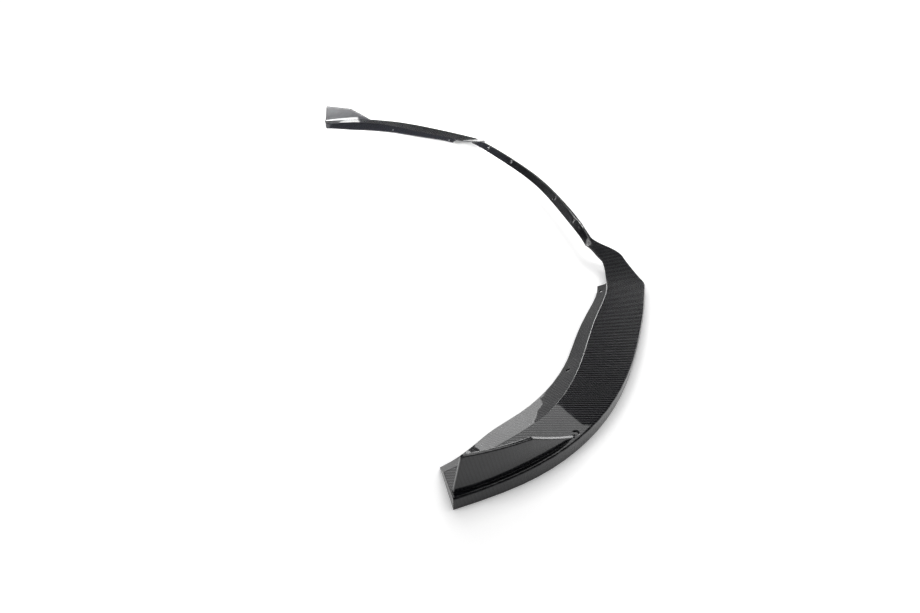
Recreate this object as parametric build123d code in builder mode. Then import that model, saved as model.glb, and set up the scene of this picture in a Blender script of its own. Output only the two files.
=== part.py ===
"""Front splitter lip: one moulded carbon-fibre shell with two upright winglets.

X runs across the car, -Y points forward and Z is up. The lip stands on the hems of its two side
blades, and the origin is under the middle of its box.
"""
import os
from math import cos, hypot, radians, sin, tan

from build123d import *

os.makedirs("parts", exist_ok=True)

# Overall size in plan
half_width = 903.0
depth = 460.5

# Shell
wall = 2.5
crease_radius = 2.5
edge_radius = 3.0

# Crease of the side blade in plan, as (inset from the half width, forward of the rear ends)
crease_rear = 36.0
crease_heading = 15.0
crease_side = (75.8, 106.2)
crease_bend = (96.0, 144.0)
crease_waist = (220.9, 260.6)

# Crease of the front in plan, as (across, back from the front)
crease_front = (604.0, 143.0)
crease_notch = (509.2, 75.5)
crease_step = (439.9, 56.2)
crease_strip = (314.1, 39.2)
crease_middle = (130.0, 15.0)
lip_width = 7.0

# Outer edge of the side blade, in the terms of its crease
edge_heading = 6.5
edge_side = (19.0, 103.0)
edge_blade = (84.0, 223.0)

# Outer edge of the front, over its corner and shoulder to the narrow top of the strip
edge_front = (702.0, 126.5)
corner = (522.0, 5.5)
corner_heading = 30.0
corner_turn = 29.0
corner_radius = 10.0
shoulder = (434.0, 3.5)
shoulder_end = (368.0, 39.0)
shoulder_heading = 2.0
lip_strip = (300.0, 30.5)
lip_middle = (130.0, 8.0)

# Heights and slopes of the top skin, and the depth of the skirt under the strip
rear_height = 13.0
blade_height = 19.5
strip_height = 52.5
centre_height = 48.5
rear_fall = -0.09
front_fall = 0.06
skirt_strip = 18.0

# Skin inside the crease: width and foot of the side flange, then of the steep wall of the strip
flange_rear = 17.0
flange_bend = 38.0
flange_waist = 21.0
flange_front = 15.5
flange_step = 14.0
strip_lean = 9.0
foot_rear = 3.0
foot_bend = 4.0
foot_front = 12.5
foot_step = 40.0
foot_centre = 34.5

# Notch between the strip and the side flange
notch_radius = 5.0
notch_bite = 6.0
notch_depth = 60.0
wall_corner = (384.0, 60.5)

# Winglet: its outer face in plan, and its outline seen from the side as (forward, height)
fin_rear = (7.0, -12.0)
fin_middle = (20.8, 85.0)
fin_nose = (56.5, 175.0)
fin_thickness = 5.5
fin_heel = (2.0, 18.0)
fin_peak = (11.0, 66.5)
fin_kink = (97.0, 56.0)
fin_tip = (160.0, 20.0)
fin_corner = 4.0
fin_bend = 12.0
fin_round = 1.5

# Fixing holes in the side flange: gap to the notch, pitch along the crease, part of the way down
flange_hole = 7.0
flange_hole_gap = 23.0
flange_hole_pitch = 246.0
flange_hole_part = 0.6

# Countersunk holes in the wall of the strip: reach from the middle, pitch, part of the way down
strip_hole = 6.5
strip_sink = 12.0
sink_angle = 120.0
sink_lift = 0.1
strip_hole_reach = 148.0
strip_hole_pitch = 140.0
strip_hole_part = 0.4

# Countersunk hole in the blade, in front of the winglet's tip
tip_hole_spot = (57.2, 168.5)
tip_hole = 6.0
tip_sink = 9.4

# Construction allowances
station_step = 30.0
fine_step = 9.0
spare = 30.0


def side_point(inset, forward):
    """Point in plan, from its inset from the half width and its place forward of the rear ends."""
    return Vector(half_width - inset, depth / 2 - forward)


def front_point(across, back):
    """Point in plan, from its place across and its setback from the front."""
    return Vector(across, back - depth / 2)


with BuildLine() as crease_path:
    crease = Spline(
        side_point(crease_rear, -spare),
        side_point(*crease_side),
        side_point(*crease_bend),
        side_point(*crease_waist),
        front_point(*crease_front),
        front_point(*crease_notch),
        front_point(*crease_step),
        front_point(*crease_strip),
        front_point(*crease_middle),
        front_point(0, lip_width),
        tangents=((-sin(radians(crease_heading)), -cos(radians(crease_heading))), (-1, 0)),
        tangent_scalars=(1, 1),
    )

with BuildLine() as rim_path:
    rear_run = PolarLine(side_point(0, 0), 2 * spare, 90 - edge_heading)
    side = Spline(
        side_point(0, 0),
        side_point(*edge_side),
        side_point(*edge_blade),
        front_point(*edge_front),
        front_point(*corner),
        tangents=(-(rear_run % 0), (-cos(radians(corner_heading)), -sin(radians(corner_heading)))),
        tangent_scalars=(1, 1),
    )
    nose = JernArc(side @ 1, side % 1, corner_radius, -corner_turn)
    front = Spline(
        nose @ 1,
        front_point(*shoulder),
        tangents=(nose % 1, (-1, 0)),
        tangent_scalars=(1, 1),
    )
    hollow_turn = Spline(
        front @ 1,
        front_point(*shoulder_end),
        tangents=(front % 1, (-cos(radians(shoulder_heading)), -sin(radians(shoulder_heading)))),
        tangent_scalars=(1, 1),
    )
    lip = Spline(
        hollow_turn @ 1,
        front_point(*lip_strip),
        front_point(*lip_middle),
        front_point(0, 0),
        tangents=(hollow_turn % 1, (-1, 0)),
        tangent_scalars=(1, 1),
    )
    Line(lip @ 1, front_point(-2 * spare, 0))


def place_of(point):
    """Distance along the crease from the rear ends to one of its points."""
    return crease.param_at_point(point) * crease.length - spare


length = crease.length - spare
bend_place = place_of(side_point(*crease_side))
waist_place = place_of(side_point(*crease_waist))
notch_place = place_of(front_point(*crease_notch))
step_place = place_of(front_point(*crease_step))
strip_place = place_of(front_point(*crease_strip))


def eased(place, *stops):
    """Size at a place along the crease, eased between its stated stops."""
    for (near, first), (far, second) in zip(stops, stops[1:]):
        if place <= far:
            part = max(0.0, (place - near) / (far - near))
            return first + (second - first) * part * part * (3 - 2 * part)
    return stops[-1][1]


def height_at(place):
    """Height of the crease above the floor."""
    return eased(
        place,
        (0, rear_height),
        (bend_place, blade_height),
        (notch_place, blade_height),
        (strip_place, strip_height),
        (length, centre_height),
    )


def fall_at(place):
    """Fall of the plate per millimetre outward."""
    return eased(place, (0, rear_fall), (bend_place, 0), (step_place, front_fall), (strip_place, 0))


def flange_at(place):
    """Width and drop of the skin inside the crease."""
    width = eased(
        place,
        (0, flange_rear),
        (bend_place, flange_bend),
        (waist_place, flange_waist),
        (notch_place, flange_front),
        (step_place, flange_step),
        (strip_place, strip_lean),
    )
    foot = eased(
        place,
        (0, foot_rear),
        (bend_place, foot_bend),
        (notch_place, foot_front),
        (step_place, foot_step),
        (length, foot_centre),
    )
    return width, height_at(place) - foot


def hem_at(place):
    """Height of the lower edge of the skirt."""
    return eased(
        place,
        (notch_place, 0),
        (strip_place, strip_height - skirt_strip),
        (length, centre_height - skirt_strip),
    )


def station(place):
    """Upright plane square to the crease, its local X outward and its local Y up."""
    along = min(place, 2 * length - place) + spare
    point = crease.position_at(along, position_mode=PositionMode.LENGTH)
    run = crease.tangent_at(along, position_mode=PositionMode.LENGTH)
    outward = Vector(-run.Y, run.X)
    if place > length:
        point = Vector(-point.X, point.Y)
        outward = Vector(-outward.X, outward.Y)
    return Plane(point, x_dir=outward, z_dir=outward.cross(Vector(0, 0, 1)))


def rim_at(place):
    """Distance from the crease to the outer edge, and to the inside of the skirt."""
    upright = station(place)
    ray = Line(upright.origin, upright.origin + upright.x_dir * depth)
    for edge in rim_path.edges():
        for hit in edge.find_intersection_points(ray):
            gap = (hit - upright.origin).length
            slope = abs(edge.tangent_at(hit).dot(upright.z_dir))
            return gap, gap - wall / slope


def skin(place):
    """Corner points of the shell's section: its outer side, then its underside."""
    place = min(place, 2 * length - place)
    height = height_at(place)
    fall = fall_at(place)
    width, drop = flange_at(place)
    hem = hem_at(place)
    rim, lining = rim_at(place)
    outer = [(-width, height - drop), (0, height), (rim, height - fall * rim), (rim, hem)]
    slant = hypot(width, drop)
    foot = (-width + wall * drop / slant, height - drop - wall * width / slant)
    ceiling = height - wall * hypot(1, fall)
    rise = drop / width
    meet = (ceiling - foot[1] + rise * foot[0]) / (rise + fall)
    under = [foot, (meet, ceiling - fall * meet), (lining, ceiling - fall * lining), (lining, hem)]
    return outer, under


def turn(before, corner, after, radius):
    """Start, middle and end of the arc that rounds a corner."""
    back = (Vector(before) - Vector(corner)).normalized()
    ahead = (Vector(after) - Vector(corner)).normalized()
    bisector = (back + ahead).normalized()
    opening = radians(back.get_angle(ahead)) / 2
    setback = radius / tan(opening)
    middle = Vector(corner) + bisector * (radius / sin(opening) - radius)
    return Vector(corner) + back * setback, middle, Vector(corner) + ahead * setback


def shell_section(place):
    """Upright section through the shell, with its crease and its outer edge rounded."""
    outer, under = skin(place)
    fold = turn(*outer[0:3], crease_radius)
    brim = turn(*outer[1:4], edge_radius)
    with BuildSketch(station(place)) as face:
        with BuildLine():
            Line(outer[0], fold[0])
            ThreePointArc(*fold)
            Line(fold[2], brim[0])
            ThreePointArc(*brim)
            Polyline(brim[2], outer[3], *reversed(under), outer[0])
        make_face()
    return face.sketch


def flange_seat(place, part, lift=0.0):
    """Plane lifted off the skin inside the crease, a part of the way down it, facing out of the skin."""
    width, drop = flange_at(place)
    upright = station(place)
    height = height_at(place) - drop * part
    origin = upright.origin - upright.x_dir * width * part + Vector(0, 0, height)
    return Plane(origin, z_dir=upright.x_dir * -drop + Vector(0, 0, width)).offset(lift)


places = [-spare]
while places[-1] < length + spare:
    stepping = notch_place - spare < places[-1] < strip_place
    places.append(places[-1] + (fine_step if stepping else station_step))

with BuildPart() as shell:
    loft([shell_section(place) for place in places])
    split(bisect_by=Plane(side_point(0, 0), z_dir=(0, -1, 0)))
    split(bisect_by=Plane.YZ)

rear = station(0)
foot_middle, crease_core, edge_core, _ = [(Vector(a) + Vector(b)) / 2 for a, b in zip(*skin(0))]
foot_core = foot_middle + (crease_core - foot_middle).normalized() * wall
inner_corners = [(rear.origin.X + core.X / rear.x_dir.X, core.Y) for core in (foot_core, crease_core)]
edge_middle = half_width - wall / 2
with BuildPart() as rear_wall:
    with BuildSketch(Plane(Vector(0, depth / 2), x_dir=(1, 0, 0), z_dir=(0, -1, 0))):
        with BuildLine():
            Polyline(*inner_corners, (edge_middle, edge_core.Y), (edge_middle, 0), close=True)
        make_face()
    extrude(amount=wall)

with BuildPart() as fin:
    with BuildSketch():
        with BuildLine():
            face_line = ThreePointArc(side_point(*fin_rear), side_point(*fin_middle), side_point(*fin_nose))
            offset(face_line, fin_thickness, side=Side.RIGHT)
        make_face()
    extrude(amount=fin_peak[1])
    slope = (fin_tip[0] - fin_kink[0]) / (fin_kink[1] - fin_tip[1])
    root = blade_height - wall / 2
    rear_root = rear_height - rear_fall * (crease_rear - fin_rear[0]) - wall / 2
    with BuildSketch(Plane.YZ) as side_view:
        with BuildLine():
            Polyline(
                (depth / 2 - fin_heel[0], rear_root),
                (depth / 2 - fin_heel[0], fin_heel[1]),
                (depth / 2 - fin_peak[0], fin_peak[1]),
                (depth / 2 - fin_kink[0], fin_kink[1]),
                (depth / 2 - fin_kink[0] - slope * (fin_kink[1] - root), root),
                (depth / 2 - crease_side[1], root),
                close=True,
            )
        make_face()
        fillet(side_view.vertices().sort_by(Axis.Y)[-1], fin_corner)
        fillet(side_view.vertices().sort_by(Axis.Y)[-3], fin_bend)
    extrude(amount=half_width, mode=Mode.INTERSECT)
    sides = fin.faces().sort_by(SortBy.AREA)[-2:]
    fillet([edge for face in sides for edge in face.edges() if (edge @ 0.5).Z > blade_height], fin_round)

notch_rear = station(notch_place)
notch_turn = station(notch_place + notch_radius)
notch_end = station(step_place)
with BuildSketch() as notch:
    with BuildLine():
        bite = Spline(
            notch_turn.origin,
            notch_end.origin + notch_end.x_dir * notch_bite,
            tangents=(notch_turn.z_dir, notch_end.z_dir),
            tangent_scalars=(1, 1),
        )
        inside_turn = TangentArc(
            notch_turn.origin,
            notch_rear.origin - notch_rear.x_dir * notch_radius,
            tangent=-notch_turn.z_dir,
        )
        Polyline(
            bite @ 1,
            front_point(*wall_corner),
            front_point(wall_corner[0], wall_corner[1] + notch_depth),
            notch_rear.origin - notch_rear.x_dir * notch_depth,
            inside_turn @ 1,
        )
    make_face()

flange_hole_place = notch_place - flange_hole_gap
strip_hole_place = length - strip_hole_reach
with BuildPart() as half:
    add(shell.part)
    add(rear_wall.part)
    add(fin.part)
    extrude(notch.sketch, amount=2 * strip_height, mode=Mode.SUBTRACT)
    for place in (flange_hole_place, flange_hole_place - flange_hole_pitch):
        with Locations(flange_seat(place, flange_hole_part)):
            Cylinder(flange_hole / 2, 4 * wall, mode=Mode.SUBTRACT)
    for place in (strip_hole_place, strip_hole_place - strip_hole_pitch):
        with Locations(flange_seat(place, strip_hole_part, sink_lift)):
            CounterSinkHole(strip_hole / 2, strip_sink / 2, lip_width + strip_lean + 4 * wall, sink_angle)
    with Locations(side_point(*tip_hole_spot) + Vector(0, 0, blade_height)):
        CounterSinkHole(tip_hole / 2, tip_sink / 2, 4 * wall, sink_angle)

with BuildPart() as splitter_lip:
    add(half.part)
    mirror(about=Plane.YZ)

splitter_lip.part.label = "splitter_lip"
export_step(splitter_lip.part, "parts/splitter_lip.step")
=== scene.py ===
"""Front splitter lip in clear-coated carbon fibre, with a plain white studio around it."""

from math import pi, radians

import bpy
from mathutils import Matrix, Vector


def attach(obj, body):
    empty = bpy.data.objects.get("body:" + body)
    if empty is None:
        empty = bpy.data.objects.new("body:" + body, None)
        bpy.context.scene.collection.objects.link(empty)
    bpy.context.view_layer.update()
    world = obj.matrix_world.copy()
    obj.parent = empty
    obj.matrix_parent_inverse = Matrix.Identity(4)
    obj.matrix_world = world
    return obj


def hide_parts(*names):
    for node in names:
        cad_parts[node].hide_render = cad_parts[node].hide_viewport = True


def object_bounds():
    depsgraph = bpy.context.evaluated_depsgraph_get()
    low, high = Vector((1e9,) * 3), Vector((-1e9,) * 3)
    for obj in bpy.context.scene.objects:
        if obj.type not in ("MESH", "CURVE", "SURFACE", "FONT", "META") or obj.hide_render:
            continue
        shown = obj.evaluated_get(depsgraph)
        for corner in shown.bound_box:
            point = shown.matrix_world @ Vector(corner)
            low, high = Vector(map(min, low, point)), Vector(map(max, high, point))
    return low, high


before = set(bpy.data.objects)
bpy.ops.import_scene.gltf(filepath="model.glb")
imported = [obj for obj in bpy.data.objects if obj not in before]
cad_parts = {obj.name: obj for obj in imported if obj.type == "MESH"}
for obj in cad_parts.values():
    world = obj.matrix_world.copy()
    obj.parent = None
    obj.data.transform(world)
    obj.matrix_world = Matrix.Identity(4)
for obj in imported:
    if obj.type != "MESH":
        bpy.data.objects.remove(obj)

bl_info = {
    "name": "Splitter Lip Finish",
    "version": (1, 0, 0),
    "blender": (4, 5, 0),
    "location": "3D View > Sidebar > Splitter Lip",
    "description": "Dresses a front splitter lip in carbon-fibre twill, in a white studio",
    "category": "Object",
}

CAD_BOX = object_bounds()
LIP_NODE = "splitter_lip"
MILLIMETRE = 0.001

# Twill: bundles in one repeat of the weave, and how many of them the warp lies over
TWILL_REPEAT = 4
TWILL_OVER = 2

# Least upright share of a face's normal that lets the face count as lying flat
FLAT_SHARE = 0.6

# Each soft lamp: its name, place, the point it faces, its turn in degrees, its size and its brightness
LAMPS = (
    # Pale patch that the rear of the near blade mirrors
    ("overhead_box", (0.506, -0.55, 2.0), (0.506, -0.55, 0.0), 21.8, (3.0, 1.6), 1.75),
    # Pale patch that the rear of the near flange mirrors
    ("low_far_panel", (8.0, -0.65, 1.0), (-0.8, 0.1, 0.05), 0.0, (1.4, 0.8), 2.0),
    # Grey sheen on the rest of the near flange
    ("dim_far_panel", (2.0, -0.37, 0.95), (0.0, -0.37, 0.95), 0.0, (0.76, 1.0), 0.42),
    # Bright line along the fold between blade and flange
    ("fold_lamp", (2.13, -1.1, 1.62), (-0.7, 0.0, 0.0), 0.0, (0.55, 0.75), 10.0),
    # Light from high behind the lip
    ("key_box", (-0.6, 2.2, 2.4), (-0.2, 0.0, 0.0), 0.0, (1.2, 1.2), 4.5),
    # Soft fill from behind the camera, on the faces that look towards it
    ("front_fill", (-3.2, 1.0, 0.45), (0.9, 0.16, 0.05), 0.0, (1.2, 0.7), 2.0),
    # Pale inner face of the far winglet
    ("winglet_card", (0.25, 0.3, 0.12), (0.88, 0.16, 0.04), 0.0, (0.4, 0.2), 60.0),
    # Bright slope on the nose of the near winglet
    ("side_panel", (1.0, -2.2, 0.5), (-0.8, 0.1, 0.05), 0.0, (1.6, 0.9), 3.0),
)


def srgb(code):
    """Turns an sRGB hex colour into linear red, green and blue."""
    parts = [int(code[place:place + 2], 16) / 255 for place in (1, 3, 5)]
    return tuple(part / 12.92 if part <= 0.04045 else ((part + 0.055) / 1.055) ** 2.4 for part in parts)


def add_node(tree, kind, inputs=None, **settings):
    """Adds a shader node, sets its settings, and fills its inputs with values or links."""
    node = tree.nodes.new("ShaderNode" + kind)
    for name, value in settings.items():
        setattr(node, name, value)
    for key, value in (inputs or {}).items():
        if isinstance(value, bpy.types.NodeSocket):
            tree.links.new(value, node.inputs[key])
        else:
            node.inputs[key].default_value = value
    return node


class CarbonFinish(bpy.types.PropertyGroup):
    """Sizes and colours of the lip's woven surface."""

    tow_width: bpy.props.FloatProperty(
        name="Tow Width",
        description="Width of one flat bundle of fibres in the twill",
        default=1.5 * MILLIMETRE,
        unit="LENGTH",
    )
    lay_angle: bpy.props.FloatProperty(
        name="Lay Angle",
        description="Turn of the twill's diagonal lines away from the car's length",
        default=radians(15.5),
        subtype="ANGLE",
    )
    # Painted sheen: warp and weft are the same black fibre, coloured lighter and darker for the light
    # they catch
    lit_warp_colour: bpy.props.FloatVectorProperty(
        name="Warp Colour",
        description="Colour of the fibre bundles that catch more light",
        default=srgb("#202126"),
        subtype="COLOR",
    )
    shaded_weft_colour: bpy.props.FloatVectorProperty(
        name="Weft Colour",
        description="Colour of the fibre bundles that catch less light",
        default=srgb("#141519"),
        subtype="COLOR",
    )
    # Dark resin between bundles, also used as painted shade where each bundle rounds down to its edges
    gap_and_edge_shade_colour: bpy.props.FloatVectorProperty(
        name="Gap Colour",
        description="Colour of the resin between two bundles",
        default=srgb("#080809"),
        subtype="COLOR",
    )
    warp_glint: bpy.props.FloatProperty(
        name="Warp Glint",
        description="How strongly the lighter fibre bundles shine under the coat",
        default=0.22,
    )
    upright_sheen: bpy.props.FloatProperty(
        name="Upright Sheen",
        description="How strongly all bundles shine on upright faces, where the weave hardly shows",
        default=0.15,
    )
    edge_radius: bpy.props.FloatProperty(
        name="Edge Radius",
        description="Roundness that the clear coat gives to folds and edges",
        default=1.2 * MILLIMETRE,
        unit="LENGTH",
        precision=4,
    )
    smooth_angle: bpy.props.FloatProperty(
        name="Smooth Angle",
        description="Edges that turn by less than this are shaded round",
        default=radians(28),
        subtype="ANGLE",
    )
    merge_distance: bpy.props.FloatProperty(
        name="Merge Distance",
        description="Corners nearer to each other than this become one",
        default=0.01 * MILLIMETRE,
        unit="LENGTH",
        precision=6,
    )


class StudioSetup(bpy.types.PropertyGroup):
    """Camera, floor and lamps of the studio."""

    camera_place: bpy.props.FloatVectorProperty(
        name="Camera Place",
        description="Where the camera stands",
        default=(-1.32712, 0.34012, 0.5096),
        subtype="TRANSLATION",
    )
    camera_pitch: bpy.props.FloatProperty(
        name="Camera Pitch",
        description="How far the camera looks below the horizon",
        default=radians(30.28),
        subtype="ANGLE",
    )
    camera_heading: bpy.props.FloatProperty(
        name="Camera Heading",
        description="Turn of the camera about the upright, from looking towards the rear",
        default=radians(-105.46),
        subtype="ANGLE",
    )
    lens: bpy.props.FloatProperty(
        name="Lens",
        description="Focal length on a sensor 36 mm wide, in millimetres",
        default=23.087,
    )
    floor_size: bpy.props.FloatProperty(
        name="Floor Size",
        description="Length of each side of the floor",
        default=60.0,
        unit="LENGTH",
    )
    floor_colour: bpy.props.FloatVectorProperty(
        name="Floor Colour",
        description="Colour of the studio floor",
        default=srgb("#f3f3f3"),
        subtype="COLOR",
    )
    mirrored_share: bpy.props.FloatProperty(
        name="Mirrored Share",
        description="Part of the floor's glow that shows in reflections",
        default=0.6,
    )
    # Reach of the painted contact shadow in the floor's glow
    contact_reach: bpy.props.FloatProperty(
        name="Contact Reach",
        description="How far around the lip the floor's glow is darkened",
        default=30 * MILLIMETRE,
        unit="LENGTH",
    )
    lamp_colour: bpy.props.FloatVectorProperty(
        name="Lamp Colour",
        description="Colour of the lamps",
        default=srgb("#ffffff"),
        subtype="COLOR",
    )


def unrolled_place(tree):
    """Place on the lip as seen square to each face, and which of the faces lie flat."""
    place = add_node(tree, "TexCoord").outputs["Object"]
    place = add_node(tree, "SeparateXYZ", {"Vector": place}).outputs
    facing = add_node(tree, "NewGeometry").outputs["True Normal"]
    facing = add_node(tree, "VectorMath", {0: facing}, operation="ABSOLUTE").outputs["Vector"]
    facing = add_node(tree, "SeparateXYZ", {"Vector": facing}).outputs
    lies_flat = add_node(tree, "Math", {
        0: facing["Z"],
        1: FLAT_SHARE,
    }, operation="GREATER_THAN").outputs[0]
    stands = add_node(tree, "Math", {0: 1.0, 1: lies_flat}, operation="SUBTRACT").outputs[0]
    faces_across = add_node(tree, "Math", {
        0: facing["X"],
        1: facing["Y"],
    }, operation="GREATER_THAN").outputs[0]
    side_on = add_node(tree, "Math", {0: faces_across, 1: stands}, operation="MULTIPLY").outputs[0]
    along = add_node(tree, "Mix", {
        "Factor": side_on,
        "A": place["X"],
        "B": place["Y"],
    }).outputs["Result"]
    up = add_node(tree, "Mix", {
        "Factor": lies_flat,
        "A": place["Z"],
        "B": place["Y"],
    }).outputs["Result"]
    flat_place = add_node(tree, "CombineXYZ", {"X": along, "Y": up}).outputs["Vector"]
    return flat_place, lies_flat


def twill_pattern(tree, finish, flat_place):
    """Shows where the warp lies on top, and how high the top bundle stands across its width."""
    tows = 1 / finish.tow_width
    turned = add_node(tree, "Mapping", {
        "Vector": flat_place,
        "Rotation": (0, 0, pi / 4 + finish.lay_angle),
        "Scale": (tows, tows, tows),
    }).outputs["Vector"]
    turned = add_node(tree, "SeparateXYZ", {"Vector": turned}).outputs
    column = add_node(tree, "Math", {0: turned["X"]}, operation="FLOOR").outputs[0]
    row = add_node(tree, "Math", {0: turned["Y"]}, operation="FLOOR").outputs[0]
    step = add_node(tree, "Math", {0: column, 1: row}, operation="ADD").outputs[0]
    repeat = add_node(tree, "Math", {0: step, 1: 1 / TWILL_REPEAT}, operation="MULTIPLY").outputs[0]
    repeat = add_node(tree, "Math", {0: repeat}, operation="FRACT").outputs[0]
    # The limit lies half-way between the warp's last step on top and the weft's first
    warp_on_top = add_node(tree, "Math", {
        0: repeat,
        1: (TWILL_OVER - 0.5) / TWILL_REPEAT,
    }, operation="LESS_THAN").outputs[0]
    over_warp = add_node(tree, "Math", {0: turned["X"]}, operation="FRACT").outputs[0]
    over_weft = add_node(tree, "Math", {0: turned["Y"]}, operation="FRACT").outputs[0]
    over = add_node(tree, "Mix", {
        "Factor": warp_on_top,
        "A": over_weft,
        "B": over_warp,
    }).outputs["Result"]
    centred = add_node(tree, "Math", {0: over, 1: 2.0, 2: -1.0}, operation="MULTIPLY_ADD").outputs[0]
    fall = add_node(tree, "Math", {0: centred, 1: centred}, operation="MULTIPLY").outputs[0]
    crown = add_node(tree, "Math", {0: 1.0, 1: fall}, operation="SUBTRACT").outputs[0]
    return warp_on_top, crown


def clear_coated_carbon_twill(finish):
    """Twill in epoxy under a polished clear coat: nearly black, with fine diagonals and mirror gloss."""
    material = bpy.data.materials.new("clear_coated_carbon_twill")
    material.use_nodes = True
    tree = material.node_tree
    tree.nodes.clear()
    flat_place, lies_flat = unrolled_place(tree)
    warp_on_top, crown = twill_pattern(tree, finish, flat_place)
    # Painted sheen: bundles with the warp on top take the lighter colour, the others the darker
    bundle = add_node(tree, "Mix", {
        "Factor": warp_on_top,
        "A": (*finish.shaded_weft_colour, 1.0),
        "B": (*finish.lit_warp_colour, 1.0),
    }, data_type="RGBA").outputs["Result"]
    # Each bundle darkens into the gap colour towards its edges: dark resin in the gap, and painted shade
    # on the rounded bundle
    colour = add_node(tree, "Mix", {
        "Factor": add_node(tree, "Math", {0: crown}, operation="SQRT").outputs[0],
        "A": (*finish.gap_and_edge_shade_colour, 1.0),
        "B": bundle,
    }, data_type="RGBA").outputs["Result"]
    glint = add_node(tree, "Math", {
        0: warp_on_top,
        1: finish.warp_glint,
    }, operation="MULTIPLY").outputs[0]
    shine = add_node(tree, "Mix", {
        "Factor": lies_flat,
        "A": finish.upright_sheen,
        "B": glint,
    }).outputs["Result"]
    rounded = add_node(tree, "Bevel", {"Radius": finish.edge_radius}, samples=6).outputs["Normal"]
    fibre_bump = add_node(tree, "Bump", {
        "Strength": 0.35,
        "Distance": 0.25 * MILLIMETRE,
        "Height": crown,
        "Normal": rounded,
    }).outputs["Normal"]
    shader = add_node(tree, "BsdfPrincipled", {
        "Base Color": colour,
        "Roughness": 0.3,
        "IOR": 1.5,
        "Specular IOR Level": shine,
        "Coat Weight": 1.0,
        "Coat Roughness": 0.02,
        "Coat IOR": 1.5,
        "Normal": fibre_bump,
        "Coat Normal": rounded,
    })
    add_node(tree, "OutputMaterial", {"Surface": shader.outputs["BSDF"]})
    return material


def matt_white_floor(setup):
    """Matt white floor that also glows, near white all over; the lip's soft shadow on it is partly cast
    by the lamps and partly painted, where the glow dims close around the lip.
    """
    material = bpy.data.materials.new("matt_white_floor")
    material.use_nodes = True
    tree = material.node_tree
    tree.nodes.clear()
    rays = add_node(tree, "LightPath").outputs
    mirrored = add_node(tree, "Math", {
        0: rays["Is Glossy Ray"],
        1: setup.mirrored_share,
    }, operation="MULTIPLY").outputs[0]
    seen = add_node(tree, "Math", {
        0: rays["Is Camera Ray"],
        1: mirrored,
    }, operation="MAXIMUM").outputs[0]
    place = add_node(tree, "TexCoord").outputs["Object"]
    distance = add_node(tree, "VectorMath", {0: place}, operation="LENGTH").outputs["Value"]
    # The glow is weaker around the lip, so that the shadow shows there
    glow = add_node(tree, "MapRange", {
        "Value": distance,
        "From Min": 1.2,
        "From Max": 2.6,
        "To Min": 0.62,
        "To Max": 1.0,
    }).outputs["Result"]
    # Painted contact shadow: the glow dims where the lip shuts out the sky close by
    open_sky = add_node(tree, "AmbientOcclusion", {"Distance": setup.contact_reach}).outputs["AO"]
    glow = add_node(tree, "Math", {0: glow, 1: open_sky}, operation="MULTIPLY").outputs[0]
    strength = add_node(tree, "Math", {0: seen, 1: glow}, operation="MULTIPLY").outputs[0]
    paint = add_node(tree, "BsdfDiffuse", {"Color": (*setup.floor_colour, 1.0)})
    light = add_node(tree, "Emission", {"Strength": strength})
    both = add_node(tree, "AddShader", {0: paint.outputs["BSDF"], 1: light.outputs["Emission"]})
    add_node(tree, "OutputMaterial", {"Surface": both.outputs["Shader"]})
    return material


class SPLITTER_OT_carbon_lip(bpy.types.Operator):
    """Makes the lip's smooth carbon-fibre body in place of the plain solid"""

    bl_idname = "splitter.carbon_lip"
    bl_label = "Carbon Lip"

    def execute(self, context):
        finish = context.scene.carbon_finish
        bpy.ops.object.select_all(action="DESELECT")
        lip = bpy.data.objects.new("carbon_lip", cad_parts[LIP_NODE].data.copy())
        context.collection.objects.link(lip)
        context.view_layer.objects.active = lip
        lip.select_set(True)
        bpy.ops.object.mode_set(mode="EDIT")
        bpy.ops.mesh.select_all(action="SELECT")
        bpy.ops.mesh.remove_doubles(threshold=finish.merge_distance)
        bpy.ops.object.mode_set(mode="OBJECT")
        bpy.ops.mesh.customdata_custom_splitnormals_clear()
        bpy.ops.object.shade_smooth_by_angle(angle=finish.smooth_angle)
        bpy.ops.object.modifier_add(type="WEIGHTED_NORMAL")
        lip.modifiers[0].keep_sharp = True
        bpy.ops.object.modifier_apply(modifier=lip.modifiers[0].name)
        lip.data.materials.clear()
        lip.data.materials.append(clear_coated_carbon_twill(finish))
        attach(lip, "root")
        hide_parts(LIP_NODE)
        return {"FINISHED"}


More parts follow.
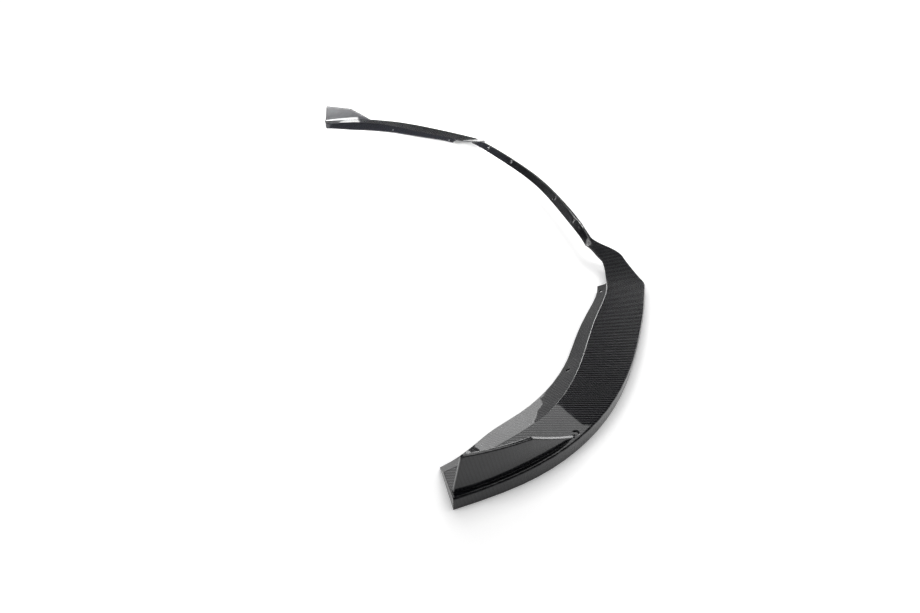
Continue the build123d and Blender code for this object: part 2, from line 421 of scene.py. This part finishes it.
class SPLITTER_OT_studio(bpy.types.Operator):
    """Sets the floor, the surrounding light, the lamps and the camera"""

    bl_idname = "splitter.studio"
    bl_label = "Studio"

    def execute(self, context):
        setup = context.scene.studio_setup
        context.scene.view_settings.view_transform = "Standard"
        bpy.ops.object.select_all(action="DESELECT")
        bpy.ops.mesh.primitive_plane_add(size=setup.floor_size, location=(0, 0, CAD_BOX[0][2]))
        floor = context.active_object
        floor.name = "studio_floor"
        floor.data.materials.append(matt_white_floor(setup))
        self.surround(context.scene)
        for lamp in LAMPS:
            self.soft_lamp(*lamp)
        bpy.ops.object.camera_add(location=setup.camera_place)
        camera = context.active_object
        camera.rotation_euler = (pi / 2 - setup.camera_pitch, 0, setup.camera_heading)
        camera.data.sensor_fit = "HORIZONTAL"
        camera.data.lens = setup.lens
        camera.data.clip_end = 2 * setup.floor_size
        context.scene.camera = camera
        return {"FINISHED"}

    def surround(self, scene):
        """White to the eye, and dim in what the lip mirrors."""
        world = bpy.data.worlds.new("white_studio")
        scene.world = world
        world.use_nodes = True
        tree = world.node_tree
        tree.nodes.clear()
        direction = add_node(tree, "TexCoord").outputs["Generated"]
        height = add_node(tree, "SeparateXYZ", {"Vector": direction}).outputs["Z"]
        band = add_node(tree, "MapRange", {
            "Value": height,
            "From Min": 0.0,
            "From Max": 0.45,
            "To Min": 0.08,
            "To Max": 0.05,
        }).outputs["Result"]
        seen = add_node(tree, "LightPath").outputs["Is Camera Ray"]
        strength = add_node(tree, "Math", {0: seen, 1: band}, operation="MAXIMUM").outputs[0]
        light = add_node(tree, "Background", {"Color": (1, 1, 1, 1), "Strength": strength})
        add_node(tree, "OutputWorld", {"Surface": light.outputs["Background"]})

    def soft_lamp(self, name, place, target, turn, size, radiance):
        """Adds a rectangular lamp of a given brightness, aimed at a point."""
        bpy.ops.object.light_add(type="AREA", location=place)
        lamp = bpy.context.active_object
        lamp.name = name
        lamp.rotation_euler = (Vector(target) - Vector(place)).to_track_quat("-Z", "Y").to_euler()
        lamp.rotation_euler.rotate_axis("Z", radians(turn))
        lamp.data.shape = "RECTANGLE"
        lamp.data.size, lamp.data.size_y = size
        lamp.data.energy = radiance * pi * size[0] * size[1]
        lamp.data.color = bpy.context.scene.studio_setup.lamp_colour
        lamp.visible_camera = False


class SPLITTER_PT_panel(bpy.types.Panel):
    """Lists the lip's pieces and their settings in the sidebar"""

    bl_idname = "SPLITTER_PT_panel"
    bl_label = "Splitter Lip"
    bl_space_type = "VIEW_3D"
    bl_region_type = "UI"
    bl_category = "Splitter Lip"

    def draw(self, context):
        for group, operator in (
            (context.scene.carbon_finish, SPLITTER_OT_carbon_lip),
            (context.scene.studio_setup, SPLITTER_OT_studio),
        ):
            box = self.layout.box()
            for name in group.__annotations__:
                box.prop(group, name)
            box.operator(operator.bl_idname)


CLASSES = (CarbonFinish, StudioSetup, SPLITTER_OT_carbon_lip, SPLITTER_OT_studio, SPLITTER_PT_panel)


def register():
    for cls in CLASSES:
        bpy.utils.register_class(cls)
    bpy.types.Scene.carbon_finish = bpy.props.PointerProperty(type=CarbonFinish)
    bpy.types.Scene.studio_setup = bpy.props.PointerProperty(type=StudioSetup)


def unregister():
    del bpy.types.Scene.studio_setup
    del bpy.types.Scene.carbon_finish
    for cls in reversed(CLASSES):
        bpy.utils.unregister_class(cls)


def main():
    register()
    bpy.ops.splitter.carbon_lip()
    bpy.ops.splitter.studio()


if __name__ == "__main__":
    main()
